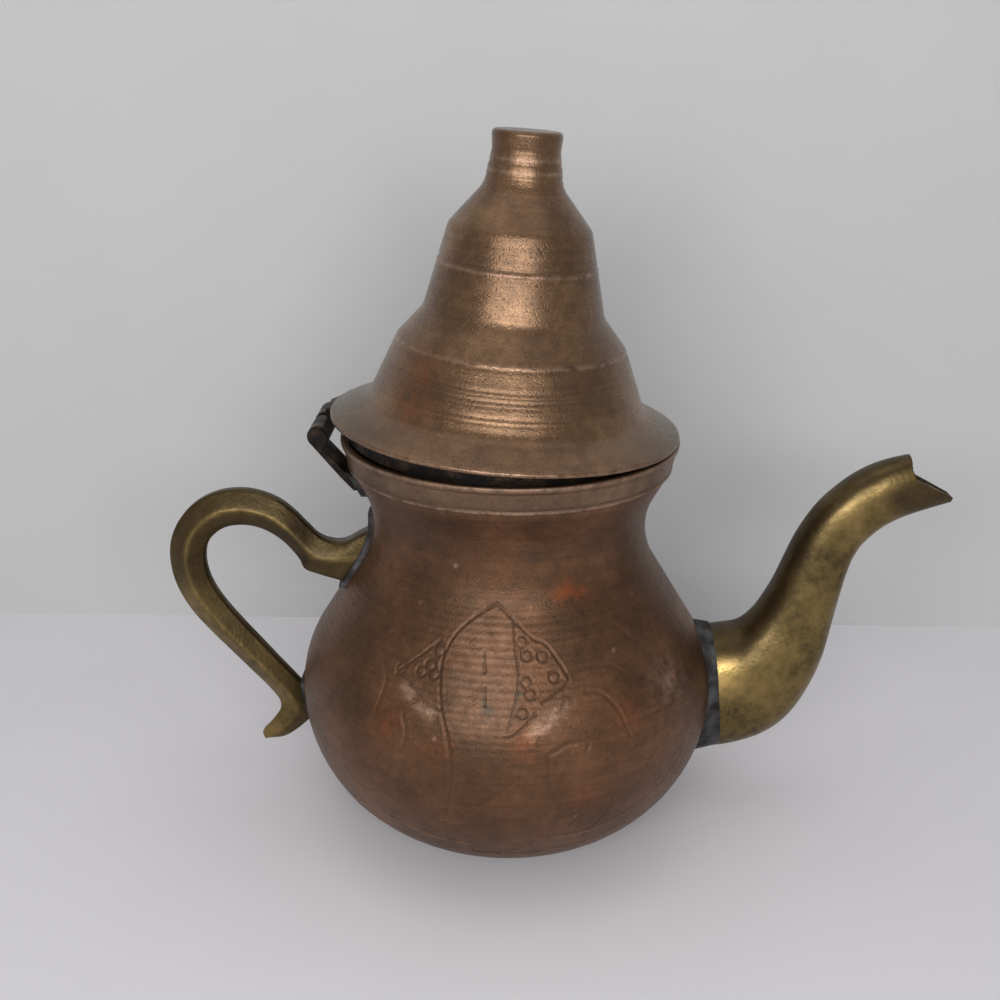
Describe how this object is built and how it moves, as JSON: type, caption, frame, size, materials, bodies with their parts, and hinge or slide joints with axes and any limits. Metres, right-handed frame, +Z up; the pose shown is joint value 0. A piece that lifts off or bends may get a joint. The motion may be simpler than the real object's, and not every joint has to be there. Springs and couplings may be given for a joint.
{
  "type": "coffee pot",
  "caption": "Round-bellied copper pot with a curved beaked spout, a looped side handle and a stepped conical lid that swings open on a hinge, for brewing and pouring coffee.",
  "frame": {"origin": "centre of the flat base, on the table", "axes": "+Z up, +X towards the spout, -X towards the handle and the lid's hinge"},
  "size_m": [0.2195, 0.1184, 0.1945],
  "materials": {
    "copper": "aged brown copper, half dull",
    "rim_copper": "aged brown copper, half dull",
    "tinned_copper": "grey worn tin",
    "brass": "tarnished cast brass",
    "solder": "dull grey soft solder",
    "hinge_metal": "dark worn copper"
  },
  "bodies": {
    "pot": {"vessel_body": "copper", "base_disc": "copper", "base_solder": "solder", "rim_band": "rim_copper", "spout": "brass", "spout_solder": "solder", "handle": "brass", "handle_upper_solder": "solder", "handle_lower_solder": "solder", "hinge_body_leaf": "hinge_metal", "hinge_body_solder": "solder", "hinge_pin": "hinge_metal"},
    "lid": {"lid_shell": "copper", "lid_skirt": "tinned_copper", "hinge_lid_leaf": "hinge_metal"}
  },
  "joints": [
    {"name": "lid_hinge", "type": "hinge", "parent": "pot", "child": "lid", "pos_m": [-0.051, 0, 0.116], "axis": [0, -1, 0], "range_deg": [0, 155]}
  ]
}
